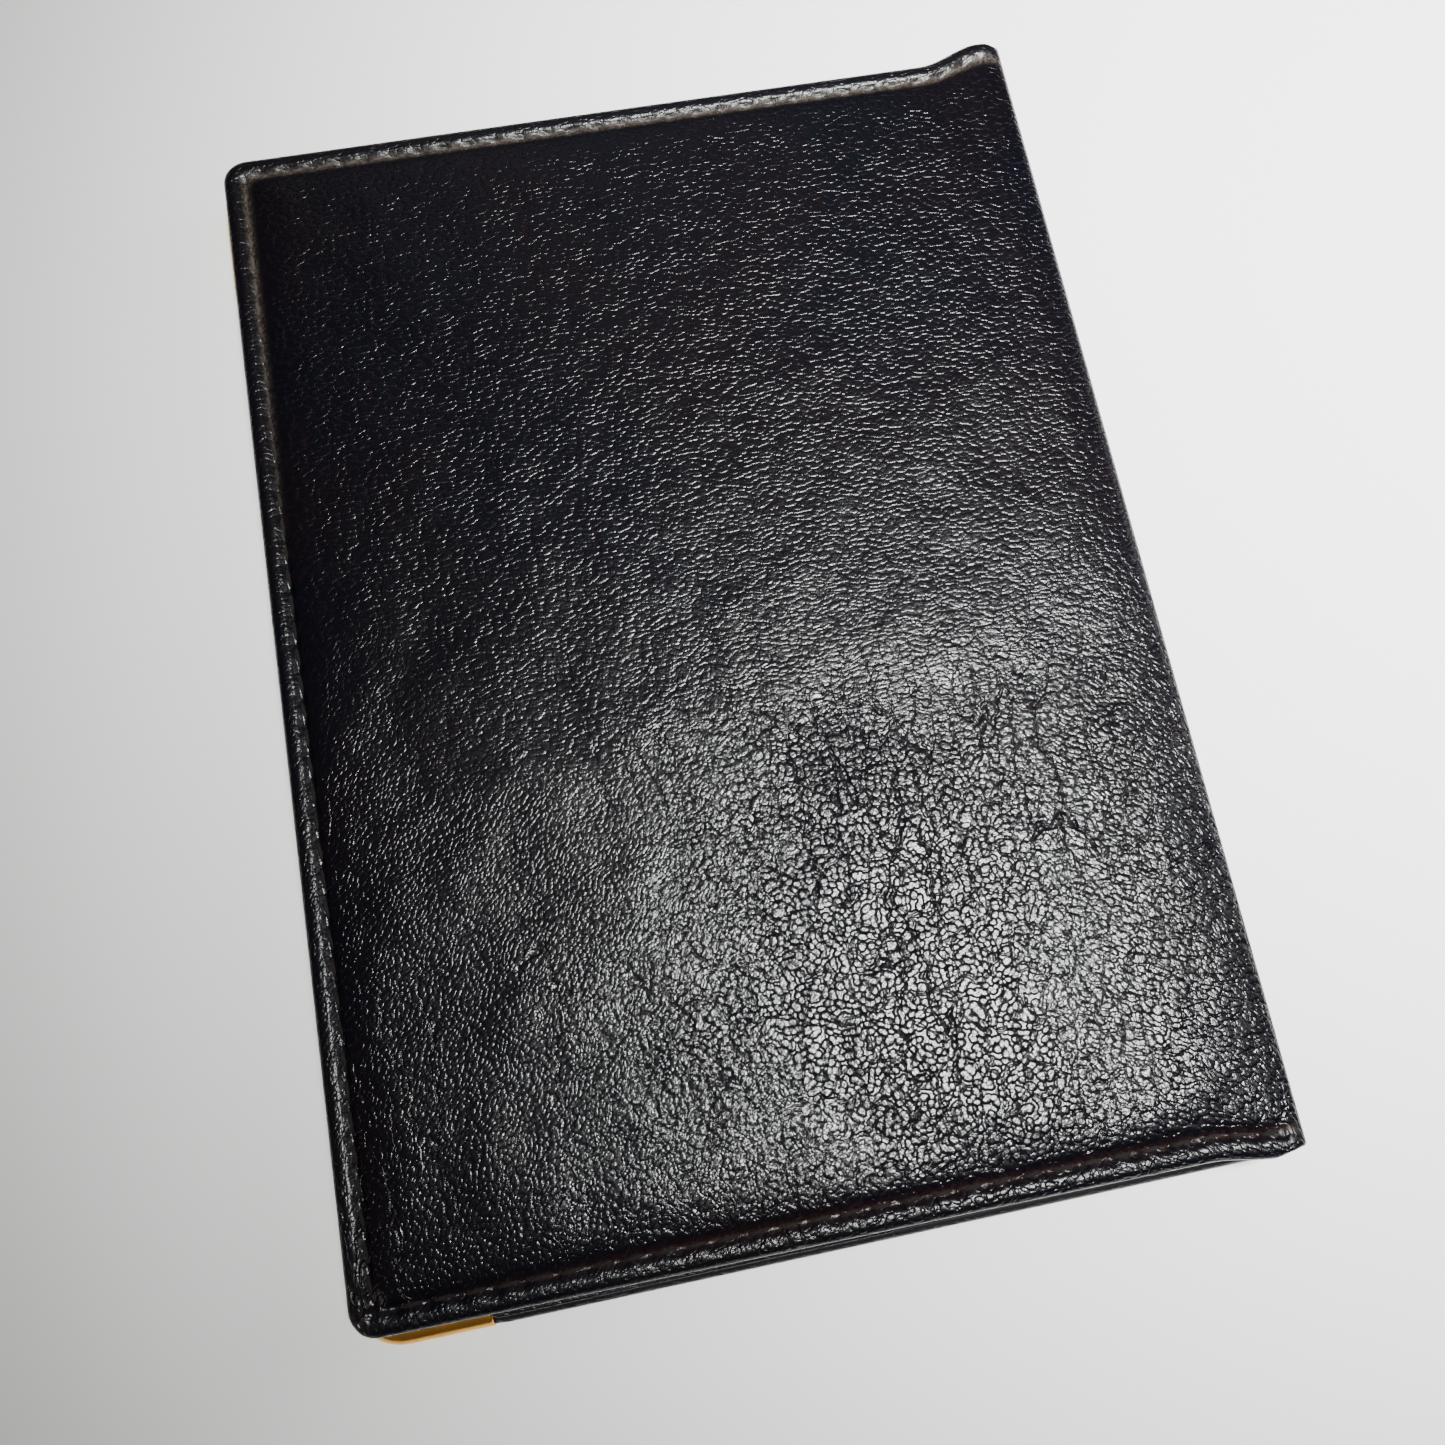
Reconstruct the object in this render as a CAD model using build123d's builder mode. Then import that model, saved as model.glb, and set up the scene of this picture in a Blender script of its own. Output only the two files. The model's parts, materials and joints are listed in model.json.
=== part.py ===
"""A bifold business card case in padded leather, closed and lying on its front cover.

X runs from the fore-edge to the spine, Y along the spine from tail to head, and Z up.
The origin is under the middle of the case, on the surface that it lies on.
Each cover is built on its own plane, which starts at the fold line on the outer face:
there x is negative towards the fore-edge, and z goes in through the layers.
"""

import os
from dataclasses import dataclass
from math import cos, radians, sin

from build123d import *

# The whole case, in millimetres
HEIGHT = 108.0  # back cover, tail to head
WIDTH = 77.6  # back cover, fold line to fore-edge
THICKNESS = 6.2  # closed, over both padded faces
FOLD_X = 39.0  # fold line's distance from the origin
MIDDLE_Y = -0.2  # back cover's middle
CORNER_R = 2.0  # covers' rounded fore-edge corners
INNER_R = 1.0  # smallest corner of an inner layer

# The front cover is cut a little larger and closes slightly out of square
FRONT_EXTRA_HEIGHT = 1.2
FRONT_EXTRA_WIDTH = 0.8
FRONT_DROP = 0.2  # how far it sits towards the tail
FRONT_TURN = 0.3  # degrees, anticlockwise from above

# Layers of a cover, from its outer face inwards
PAD_RISE = 0.4  # padded field stands this far above the hem
LEATHER = 0.5
BOARD = 0.5
TURN_IN = 0.4  # outer leather folded over onto the inside
LINING = 0.15
GUSSET = 0.4
PANEL = 0.45  # pocket leather

Z_HEM = PAD_RISE
Z_BOARD = Z_HEM + LEATHER
Z_TURN_IN = Z_BOARD + BOARD
Z_LINING = Z_TURN_IN + TURN_IN
Z_POCKET = Z_LINING + LINING
Z_FRONT_PANEL = Z_POCKET + GUSSET
Z_SLOT_PANEL = Z_POCKET + PANEL

# Borders, measured in from a cover's free edges
SEAM = 2.0
PAD_EDGE = 2.9
TURN_IN_WIDTH = 6.0
LINING_INSET = 0.6
PANEL_INSET = 0.6
GUSSET_WIDTH = 4.5
CUT_GAP = 0.1  # between a metal corner's diagonal and what is cut back from it

# Distances that the layers stop short of the fold line
SKIN_END = 0.9
FOAM_END = 1.5
LINING_END = 1.3
BOARD_END = 2.0
SEAM_END = 3.0

# Pockets for a card of 89 by 51, as deep as they reach from the fore-edge
FRONT_POCKET_DEPTH = 44.0
BACK_POCKET_DEPTH = 50.0
SLOT_DEPTH = 33.0
THUMB_NOTCH_R = 9.0

# Metal corners
METAL = 0.3
METAL_LEG = 11.0
METAL_CLEAR = METAL_LEG + 2.0  # where seam and gusset start beside a metal corner

# Seam threads
STITCH_PITCH = 2.5
STITCH_LENGTH = 1.9
THREAD_WIDTH = 0.4
THREAD_RISE = 0.15

# Spine, which folds about an axis in each cover's leather
AXIS_Z = Z_HEM + LEATHER / 2
SPINE_R = 0.35
SPINE_BULGE = 0.3
SPINE_OVER_HEAD = 1.8  # spine leather beyond the back cover
SPINE_OVER_TAIL = 0.8
SPINE_TAPE = 0.15
SPINE_LINING = 0.25
SPINE_LAYER_INSET = 0.9  # spine lining from each fold axis
SPINE_LAYER_SHORT = 1.0  # spine lining from head and tail


@dataclass
class Cover:
    """A cover's name, plane and size, and whether it has metal corners."""

    name: str
    plane: Plane
    width: float
    height: float
    metal: bool


turn = radians(FRONT_TURN)
front = Cover(
    "front",
    Plane(
        origin=(FOLD_X, MIDDLE_Y - FRONT_DROP, 0),
        x_dir=(cos(turn), sin(turn), 0),
        z_dir=(0, 0, 1),
    ),
    WIDTH + FRONT_EXTRA_WIDTH,
    HEIGHT + FRONT_EXTRA_HEIGHT,
    True,
)
back = Cover(
    "back",
    Plane(origin=(FOLD_X, MIDDLE_Y, THICKNESS), x_dir=(1, 0, 0), z_dir=(0, 0, -1)),
    WIDTH,
    HEIGHT,
    False,
)


def write(part, label):
    """Labels a finished piece and writes its STEP file."""
    part.label = label
    export_step(part, f"parts/{label}.step")


def draw_outline(cover, inset, end):
    """Draws a cover's outline, inset from its free edges and stopping short of the fold line."""
    with Locations((-end, 0)):
        Rectangle(
            cover.width - inset - end,
            cover.height - 2 * inset,
            align=(Align.MAX, Align.CENTER),
        )
    fillet(vertices().group_by(Axis.X)[0], max(CORNER_R - inset, INNER_R))


def draw_corner(cover, side, grow, mode):
    """Draws the triangle of a metal corner, with its two square sides grown outwards."""
    x = -cover.width - grow
    y = side * (cover.height / 2 + grow)
    leg = METAL_LEG + 2 * grow
    Polygon((x, y), (x + leg, y), (x, y - side * leg), align=None, mode=mode)


def draw_clear_outline(cover, inset, end, gap):
    """Draws a cover's outline, cut back from the metal corners where it has them."""
    draw_outline(cover, inset, end)
    if cover.metal:
        draw_corner(cover, 1, gap, Mode.SUBTRACT)
        draw_corner(cover, -1, gap, Mode.SUBTRACT)


def draw_metal_edge(cover, side):
    """Draws the edge of a cover's corner that the metal takes the place of."""
    draw_outline(cover, 0, 0)
    offset(amount=-METAL, kind=Kind.INTERSECTION, mode=Mode.SUBTRACT)
    draw_corner(cover, side, CUT_GAP, Mode.INTERSECT)


def leather(cover):
    """Outer leather: flat hem, raised padded field, and the edge folded over the board."""
    with BuildPart() as skin:
        with BuildSketch(cover.plane.offset(Z_HEM)):
            draw_outline(cover, 0, SKIN_END)
        extrude(amount=LEATHER)
        with BuildSketch(cover.plane):
            draw_clear_outline(cover, PAD_EDGE, SKIN_END, CUT_GAP)
        extrude(amount=PAD_RISE)
        padded_face = faces().sort_by(Axis.Z)[0 if cover is front else -1]
        chamfer(padded_face.edges(), PAD_RISE * 0.8)
        for level, thickness, border, end in (
            (Z_BOARD, BOARD, LEATHER, SKIN_END),
            (Z_TURN_IN, TURN_IN, TURN_IN_WIDTH, LINING_END),
        ):
            with BuildSketch(cover.plane.offset(level)):
                draw_outline(cover, 0, end)
                with Locations((-end, 0)):
                    Rectangle(
                        cover.width - border - end,
                        cover.height - 2 * border,
                        align=(Align.MAX, Align.CENTER),
                        mode=Mode.SUBTRACT,
                    )
            extrude(amount=thickness)
        with BuildSketch(cover.plane.offset(LEATHER)):
            draw_clear_outline(cover, PAD_EDGE + LEATHER, FOAM_END, LEATHER)
        extrude(amount=PAD_RISE, mode=Mode.SUBTRACT)
        if cover.metal:
            for side in (1, -1):
                with BuildSketch(cover.plane.offset(Z_HEM)):
                    draw_metal_edge(cover, side)
                extrude(amount=Z_LINING - Z_HEM, mode=Mode.SUBTRACT)
    return skin.part


def padding(cover):
    """The foam behind the padded field, in the hollow of the outer leather."""
    with BuildPart() as foam:
        with BuildSketch(cover.plane.offset(LEATHER)):
            draw_clear_outline(cover, PAD_EDGE + LEATHER, FOAM_END, LEATHER)
        extrude(amount=PAD_RISE)
    return foam.part


def slab(cover, level, thickness, inset, end):
    """A flat layer of a cover, such as its board or the infill between its turned edges."""
    with BuildPart() as layer:
        with BuildSketch(cover.plane.offset(level)):
            draw_outline(cover, inset, end)
        extrude(amount=thickness)
    return layer.part


def side_gusset(cover, side):
    """The folded gusset that closes the front pocket at the head or the tail."""
    length = FRONT_POCKET_DEPTH - METAL_CLEAR
    x = METAL_CLEAR + length / 2 - cover.width
    y = side * (cover.height / 2 - PANEL_INSET - GUSSET_WIDTH / 2)
    with BuildPart() as gusset:
        with BuildSketch(cover.plane.offset(Z_POCKET)):
            with Locations((x, y)):
                Rectangle(length, GUSSET_WIDTH)
        extrude(amount=GUSSET)
    return gusset.part


def fore_edge_gusset(cover):
    """The folded gusset that closes the front pocket along the fore-edge."""
    with BuildPart() as gusset:
        with BuildSketch(cover.plane.offset(Z_POCKET)):
            with Locations((PANEL_INSET + GUSSET_WIDTH / 2 - cover.width, 0)):
                Rectangle(GUSSET_WIDTH, cover.height - 2 * METAL_CLEAR)
        extrude(amount=GUSSET)
    return gusset.part


def pocket_panel(cover, level, depth, notch_r):
    """A pocket's leather, open towards the fold, with a thumb notch where notch_r isn't 0."""
    with BuildPart() as panel:
        with BuildSketch(cover.plane.offset(level)):
            draw_clear_outline(cover, PANEL_INSET, cover.width - depth, CUT_GAP)
            if notch_r:
                with Locations((depth - cover.width, 0)):
                    Circle(notch_r, mode=Mode.SUBTRACT)
        extrude(amount=PANEL)
    return panel.part


def mouth_thread(cover, level, depth, notch_r):
    """The stitches along a pocket's mouth, on either side of its thumb notch."""
    first = notch_r + SEAM if notch_r else 0
    count = int((cover.height / 2 - PAD_EDGE - first) / STITCH_PITCH)
    middle = first + count * STITCH_PITCH / 2
    with BuildPart() as thread:
        with BuildSketch(cover.plane.offset(level)):
            for side in (1, -1):
                with Locations((depth - SEAM - cover.width, side * middle)):
                    with GridLocations(STITCH_PITCH, STITCH_PITCH, 1, count):
                        SlotOverall(STITCH_LENGTH, THREAD_WIDTH, rotation=90)
        extrude(amount=THREAD_RISE)
    return thread.part


def draw_long_rows(cover, begin, stop):
    """Draws the seam's head and tail rows, between two distances from the fore-edge."""
    count = int((stop - begin) / STITCH_PITCH)
    with Locations(((begin + stop) / 2 - cover.width, 0)):
        with GridLocations(STITCH_PITCH, cover.height - 2 * SEAM, count, 2):
            SlotOverall(STITCH_LENGTH, THREAD_WIDTH)


def draw_fore_edge_row(cover):
    """Draws the seam's row along the fore-edge."""
    ends = METAL_CLEAR if cover.metal else SEAM
    count = int((cover.height - 2 * ends) / STITCH_PITCH)
    with Locations((SEAM - cover.width, 0)):
        with GridLocations(STITCH_PITCH, STITCH_PITCH, 1, count):
            SlotOverall(STITCH_LENGTH, THREAD_WIDTH, rotation=90)


def seam_thread(cover, steps):
    """The seam's stitches. Those outside lie on the hem. Those inside lie on the layers in steps,
    each a distance that a layer reaches from the fore-edge and the level of its surface."""
    begin = METAL_CLEAR if cover.metal else SEAM + STITCH_PITCH / 2
    end = cover.width - SEAM_END
    with BuildPart() as thread:
        with BuildSketch(cover.plane.offset(Z_HEM - THREAD_RISE)):
            draw_long_rows(cover, begin, end)
            draw_fore_edge_row(cover)
        extrude(amount=THREAD_RISE)
        with BuildSketch(cover.plane.offset(steps[0][1])):
            draw_fore_edge_row(cover)
        extrude(amount=THREAD_RISE)
        for reach, level in steps:
            stop = min(reach, end)
            with BuildSketch(cover.plane.offset(level)):
                draw_long_rows(cover, begin, stop)
            extrude(amount=THREAD_RISE)
            begin = stop
    return thread.part


def metal_corner(cover, side):
    """A thin metal corner folded over the cover's outside, edges and inside."""
    with BuildPart() as corner:
        for level in (Z_HEM - METAL, Z_POCKET):
            with BuildSketch(cover.plane.offset(level)):
                draw_outline(cover, 0, 0)
                draw_corner(cover, side, 0, Mode.INTERSECT)
            extrude(amount=METAL)
        with BuildSketch(cover.plane.offset(Z_HEM)):
            draw_metal_edge(cover, side)
            draw_corner(cover, side, 0, Mode.INTERSECT)
        extrude(amount=Z_POCKET - Z_HEM)
    return corner.part


def spine_layer(outer_x, thickness, inset, short):
    """A flat layer on the inside of the spine leather, short of the fold axes and the ends."""
    with BuildPart() as layer:
        with BuildSketch(Plane.YZ.offset(outer_x - thickness)):
            with Locations((MIDDLE_Y, THICKNESS / 2)):
                Rectangle(HEIGHT - 2 * short, THICKNESS - 2 * AXIS_Z - 2 * inset)
        extrude(amount=thickness)
    return layer.part


os.makedirs("parts", exist_ok=True)

# Layers that both covers have
for cover in (front, back):
    write(leather(cover), f"{cover.name}_leather")
    write(padding(cover), f"{cover.name}_padding")
    write(slab(cover, Z_BOARD, BOARD, LEATHER, BOARD_END), f"{cover.name}_board")
    write(slab(cover, Z_TURN_IN, TURN_IN, TURN_IN_WIDTH, BOARD_END), f"{cover.name}_infill")
    write(slab(cover, Z_LINING, LINING, LINING_INSET, LINING_END), f"{cover.name}_lining")

# Front cover: a gusseted card pocket with a thumb notch, and two metal corners
write(side_gusset(front, 1), "front_gusset_head")
write(side_gusset(front, -1), "front_gusset_tail")
write(fore_edge_gusset(front), "front_gusset_fore_edge")
write(pocket_panel(front, Z_FRONT_PANEL, FRONT_POCKET_DEPTH, THUMB_NOTCH_R), "front_pocket")
z_front_top = Z_FRONT_PANEL + PANEL
write(
    mouth_thread(front, z_front_top, FRONT_POCKET_DEPTH, THUMB_NOTCH_R),
    "front_pocket_thread",
)
write(
    seam_thread(front, ((FRONT_POCKET_DEPTH, z_front_top), (front.width, Z_POCKET))),
    "front_seam_thread",
)
write(metal_corner(front, 1), "metal_corner_head")
write(metal_corner(front, -1), "metal_corner_tail")

# Back cover: a slip pocket with a shorter card slot on top of it
z_slot_top = Z_SLOT_PANEL + PANEL
write(pocket_panel(back, Z_POCKET, BACK_POCKET_DEPTH, 0), "back_pocket")
write(pocket_panel(back, Z_SLOT_PANEL, SLOT_DEPTH, 0), "back_card_slot")
write(mouth_thread(back, Z_SLOT_PANEL, BACK_POCKET_DEPTH, 0), "back_pocket_thread")
write(mouth_thread(back, z_slot_top, SLOT_DEPTH, 0), "back_card_slot_thread")
back_steps = (
    (SLOT_DEPTH, z_slot_top),
    (BACK_POCKET_DEPTH, Z_SLOT_PANEL),
    (back.width, Z_POCKET),
)
write(seam_thread(back, back_steps), "back_seam_thread")

# Spine leather: round about each fold axis, and bulging outwards between them
low = AXIS_Z
high = THICKNESS - AXIS_Z
inner = FOLD_X - SPINE_R
outer = FOLD_X + SPINE_R
spine_length = HEIGHT + SPINE_OVER_HEAD + SPINE_OVER_TAIL
spine_middle = MIDDLE_Y + (SPINE_OVER_HEAD - SPINE_OVER_TAIL) / 2
with BuildPart() as spine_leather:
    with BuildSketch(Plane.XZ.offset(-spine_middle)):
        with BuildLine():
            Line((inner, low), (inner, high))
            ThreePointArc((inner, high), (FOLD_X, high + SPINE_R), (outer, high))
            ThreePointArc((outer, high), (outer + SPINE_BULGE, THICKNESS / 2), (outer, low))
            ThreePointArc((outer, low), (FOLD_X, low - SPINE_R), (inner, low))
        make_face()
    extrude(amount=spine_length / 2, both=True)
spine_leather.part.label = "spine_leather"
export_step(spine_leather.part, "parts/spine_leather.step")

write(spine_layer(inner, SPINE_TAPE, SPINE_LAYER_INSET, SPINE_LAYER_SHORT), "spine_tape")
write(
    spine_layer(inner - SPINE_TAPE, SPINE_LINING, SPINE_LAYER_INSET, SPINE_LAYER_SHORT),
    "spine_lining",
)
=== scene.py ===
"""Looks of a bifold business card case in padded leather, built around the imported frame.

Lengths are in metres, in the frame's own axes. Each cover also has coordinates of its own:
u from its fold axis towards the spine (so negative over the cover), v along the spine towards
the head, and w outwards through its outer face.
"""

import json
import math

import bmesh
import bpy
import numpy as np
from mathutils import Euler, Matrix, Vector


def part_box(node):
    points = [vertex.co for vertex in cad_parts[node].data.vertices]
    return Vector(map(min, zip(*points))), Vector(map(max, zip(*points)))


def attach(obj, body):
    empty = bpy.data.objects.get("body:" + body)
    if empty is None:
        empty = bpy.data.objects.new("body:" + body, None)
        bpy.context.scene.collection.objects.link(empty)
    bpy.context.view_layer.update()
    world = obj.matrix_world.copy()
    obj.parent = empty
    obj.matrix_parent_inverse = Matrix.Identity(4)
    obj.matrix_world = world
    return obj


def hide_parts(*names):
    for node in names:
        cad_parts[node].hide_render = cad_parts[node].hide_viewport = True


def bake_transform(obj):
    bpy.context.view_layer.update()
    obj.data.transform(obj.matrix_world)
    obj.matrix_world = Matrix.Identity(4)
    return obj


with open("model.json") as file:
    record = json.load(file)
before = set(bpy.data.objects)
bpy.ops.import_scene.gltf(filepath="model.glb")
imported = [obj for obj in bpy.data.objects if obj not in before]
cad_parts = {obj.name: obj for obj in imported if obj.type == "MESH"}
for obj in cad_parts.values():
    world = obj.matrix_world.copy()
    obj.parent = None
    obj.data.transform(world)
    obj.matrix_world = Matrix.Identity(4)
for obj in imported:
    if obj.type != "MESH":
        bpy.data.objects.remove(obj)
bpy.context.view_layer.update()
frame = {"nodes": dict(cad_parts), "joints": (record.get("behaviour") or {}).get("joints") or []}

MM = 0.001
random = np.random.default_rng(7)

# Camera, as held over the case: a little towards its tail and turned against its edges
CAMERA_PLACE = (-7.79 * MM, -44.14 * MM, 127.33 * MM)
CAMERA_TURN = (15.834, -2.056, -11.09)  # degrees
CAMERA_LENS = 36.05  # on a sensor 36 wide
CAMERA_SHIFT = -0.0346

# Covers
FRONT_TURN = math.radians(0.3)  # the front cover closes slightly out of square
SKIN = 0.6 * MM  # leather at the folds
BACK_CORNER_R = 2.4 * MM
FRONT_CORNER_R = 4.2 * MM  # the metal corners are rounder than the back cover
SEAM = 2.0 * MM  # from the edge
PITCH = 2.5 * MM  # of the stitches
HEM_DEPTH = 0.4 * MM  # below the top of the padding
EAR_REACH = 8.0 * MM  # how far from the fold the spine's ends start to stick out
EAR_PEAK = 1.3 * MM
EAR_LENGTH = 14.0 * MM  # along the spine
FLAT_START = 0.9 * MM  # where a cover's face begins, beside its fold axis
FOLD_TOP = 0.5 * MM  # height of the leather there, over the fold axis
ROLL = 0.7 * MM  # half the thickness of a cover's rolled edge
STEP = 0.42 * MM  # between the points of the cover leather
FINE_STEP = 0.22 * MM
FINE_WIDTH = 5.5 * MM  # of the border with the finer steps
TAIL_SEAM = 12.0 * MM  # stretch at the tail where the seam is rusty and deeper puckered
PANEL_CORNER_R = 1.4 * MM
MOUTH_SEAM = 2.0 * MM  # from a pocket's mouth
NOTCH_DEPTH = 9.0 * MM
NOTCH_WIDTH = 26.0 * MM
METAL_LEG = 11.0 * MM
METAL = 0.3 * MM
BEAD = 0.22 * MM  # how far the plate turns down at its open edge
PRESS_REACH = 6.0 * MM  # how far from the edges the leather is drawn in under the metal
STITCH_RINGS = 9
STITCH_SIDES = 10

joints = {joint["name"]: joint for joint in frame["joints"]}
spine_low, spine_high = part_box("spine_leather")


# ---------------------------------------------------------------- shape helpers


def smooth(t):
    """0 below 0, 1 above 1, and a smooth step between."""
    t = np.clip(t, 0, 1)
    return t * t * (3 - 2 * t)


def bell(x, width):
    """1 at 0, fading to nothing over about twice this width."""
    return np.exp(-((x / width) ** 2))


def ripples(x, y, length, seed, count=28):
    """A smooth random field of about unit size, whose waves are about this long."""
    draw = np.random.default_rng(seed)
    field = np.zeros(np.broadcast(x, y).shape)
    for _ in range(count):
        angle = draw.uniform(0, 2 * math.pi)
        k = 2 * math.pi / (length * draw.uniform(0.7, 1.6))
        phase = draw.uniform(0, 2 * math.pi)
        field += np.cos(k * (x * math.cos(angle) + y * math.sin(angle)) + phase)
    return field / math.sqrt(count / 2)


def soft_min(a, b, size):
    """The smaller of two distances, rounded where they are about equal."""
    blend = np.clip(0.5 + (b - a) / (2 * size), 0, 1)
    return b + (a - b) * blend - size * blend * (1 - blend)


def spaced(start, stop, step, edge_step, edge):
    """Positions from start to stop, closer together within edge of the ends."""
    span = stop - start
    fine = np.arange(0, edge, edge_step)
    end = len(fine) * edge_step
    count = max(2, int(round((span - 2 * end) / step)) + 1)
    middle = np.linspace(end, span - end, count)
    return start + np.concatenate([fine, middle, span - fine[::-1]])


def cut_corners(u, v, u_edge, v_low, v_high, size, power):
    """Rounds (power 2) or bevels (power 1) a grid's two corners at u_edge, its lowest u."""
    a = u_edge + size - u
    b = np.maximum(v - (v_high - size), (v_low + size) - v)
    inside = (a > 0) & (b > 0)
    a_in = np.where(inside, a, 0)
    b_in = np.where(inside, b, 0)
    norm = (a_in**power + b_in**power) ** (1 / power)
    scale = np.where(inside, np.maximum(a_in, b_in) / np.maximum(norm, 1e-12), 1)
    side = np.where(v > (v_low + v_high) / 2, 1, -1)
    centre_v = np.where(side > 0, v_high - size, v_low + size)
    new_u = np.where(inside, u_edge + size - a_in * scale, u)
    new_v = np.where(inside, centre_v + side * b_in * scale, v)
    return new_u, new_v


def add_mesh(name, verts, faces, values=None, hide=None):
    """A smooth mesh object, with its faces turned outwards and any named values at its points.
    hide is each point's place on the flat hide or cloth that the piece was cut from, in metres.
    The mesh keeps it in millimetres, for the materials."""
    mesh = bpy.data.meshes.new(name)
    mesh.from_pydata([tuple(p) for p in verts], [], faces)
    shape = bmesh.new()
    shape.from_mesh(mesh)
    bmesh.ops.recalc_face_normals(shape, faces=shape.faces)
    shape.to_mesh(mesh)
    shape.free()
    mesh.polygons.foreach_set("use_smooth", [True] * len(mesh.polygons))
    for key, value in (values or {}).items():
        layer = mesh.attributes.new(key, "FLOAT", "POINT")
        layer.data.foreach_set("value", np.asarray(value, np.float32))
    if hide is not None:
        layer = mesh.attributes.new("hide", "FLOAT_VECTOR", "POINT")
        padded = np.zeros((len(hide), 3), np.float32)
        padded[:, :2] = hide / MM
        layer.data.foreach_set("vector", padded.reshape(-1))
    mesh.update()
    piece = bpy.data.objects.new(name, mesh)
    bpy.context.scene.collection.objects.link(piece)
    return piece


def unit(vectors):
    """The same directions, one long."""
    return vectors / np.maximum(np.linalg.norm(vectors, axis=-1, keepdims=True), 1e-12)


def grid_faces(numbers):
    """Four-sided faces over a grid of point numbers."""
    corners = [numbers[:-1, :-1], numbers[:-1, 1:], numbers[1:, 1:], numbers[1:, :-1]]
    return np.stack(corners, axis=-1).reshape(-1, 4).tolist()


def tube_faces(rings, sides):
    """Faces of a closed tube with this many rings of points, each with this many sides."""
    numbers = np.arange(rings * sides).reshape(rings, sides)
    ends = [numbers[0].tolist(), numbers[-1].tolist()]
    return grid_faces(np.hstack([numbers, numbers[:, :1]])) + ends


def rim_of(columns, rows, open_start):
    """Columns and rows of the points round a grid's edge, without its first column if open."""
    rim = [(i, 0) for i in range(columns)]
    rim += [(columns - 1, j) for j in range(1, rows)]
    rim += [(i, rows - 1) for i in range(columns - 2, -1, -1)]
    if not open_start:
        rim += [(0, j) for j in range(rows - 2, 0, -1)]
    return np.array(rim).T


def directions(line, open_start):
    """The direction of a line at each of its points. It closes on itself unless it is open."""
    if open_start:
        return unit(np.gradient(line, axis=0))
    return unit(np.roll(line, -1, axis=0) - np.roll(line, 1, axis=0))


def facing(vectors, place, expected):
    """The vectors, all of them reversed if the one at this place points away from expected."""
    return -vectors if vectors[place] @ expected < 0 else vectors


def closed_sheet(
    name, points, flat, radius, outward, open_start=False, values=None, rings=6, full_back=False
):
    """A closed solid whose outer face is the grid points[column, row], with rolled edges and a
    plain inner face. flat holds the same points on the flat hide, and radius is half the solid's
    thickness at each of them. With open_start the first column isn't rolled, and the solid is
    closed by a flat face there. With full_back the inner face follows the grid too, as it must
    where an edge is hollow. The value "reverse" goes from 0 on the outer face to 1 inside."""
    columns, rows = points.shape[:2]
    normal = np.cross(unit(np.gradient(points, axis=0)), unit(np.gradient(points, axis=1)))
    normal = facing(normal, (columns // 2, rows // 2), np.array(outward))
    ci, cj = rim_of(columns, rows, open_start)
    edge = points[ci, cj]
    flat_edge = flat[ci, cj]
    # Averaged along the edge, because the grid has no clear normal at a rounded corner
    up = unit(sum(np.roll(normal[ci, cj], shift, axis=0) for shift in range(-3, 4)))
    out = unit(np.cross(directions(edge, open_start), up))
    run = directions(flat_edge, open_start)
    flat_out = np.stack([run[:, 1], -run[:, 0]], axis=-1)
    probe = columns + rows // 2
    out = facing(out, probe, edge[probe] - points.reshape(-1, 3).mean(axis=0))
    flat_out = facing(flat_out, probe, flat_edge[probe] - flat.reshape(-1, 2).mean(axis=0))

    r = radius[ci, cj][:, None]
    verts = [points.reshape(-1, 3)]
    hide = [flat.reshape(-1, 2)]
    for k in range(1, rings + 1):
        angle = math.pi * k / rings
        verts.append(edge + out * r * math.sin(angle) - up * r * (1 - math.cos(angle)))
        hide.append(flat_edge + flat_out * r * angle)
    inside = (slice(1, -1), slice(1, -1)) if full_back else (slice(0), slice(0))
    below = points[inside] - unit(normal[inside]) * 2 * radius[inside][..., None]
    verts.append(below.reshape(-1, 3))
    hide.append(flat[inside].reshape(-1, 2))
    spread = {}
    for key, value in (values or {}).items():
        rolled = [value[ci, cj]] * rings
        spread[key] = np.concatenate([value.ravel(), *rolled, value[inside].ravel()])
    turning = np.repeat(np.arange(1, rings + 1) / rings, len(ci))
    spread["reverse"] = np.concatenate([np.zeros(columns * rows), turning, np.ones(len(verts[-1]))])

    numbers = np.arange(columns * rows).reshape(columns, rows)
    rim = numbers.size + np.arange(rings * len(ci)).reshape(rings, len(ci))
    rim = np.vstack([numbers[ci, cj], rim])
    faces = grid_faces(numbers)
    faces += grid_faces(rim if open_start else np.hstack([rim, rim[:, :1]]))
    inner = rim[-1].tolist()
    opposite = [2 * columns + rows - 3 - i for i in range(columns)]
    if full_back:
        under = np.zeros_like(numbers)
        under[ci, cj] = inner
        under[inside] = rim[-1, -1] + 1 + np.arange(under[inside].size).reshape(under[inside].shape)
        faces += grid_faces(under)
    else:
        for i in range(0 if open_start else 1, columns - 2):
            faces.append([inner[i], inner[i + 1], inner[opposite[i + 1]], inner[opposite[i]]])
        faces.append(inner[columns - 2 : opposite[columns - 2] + 1])
        if open_start:
            faces.append(rim[::-1, 0].tolist() + list(range(1, rows - 1)) + rim[:, -1].tolist())
        else:
            faces.append(inner[opposite[1] :] + inner[0:2])
    return add_mesh(name, np.concatenate(verts), faces, spread, np.concatenate(hide))


# ---------------------------------------------------------------- covers


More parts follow.
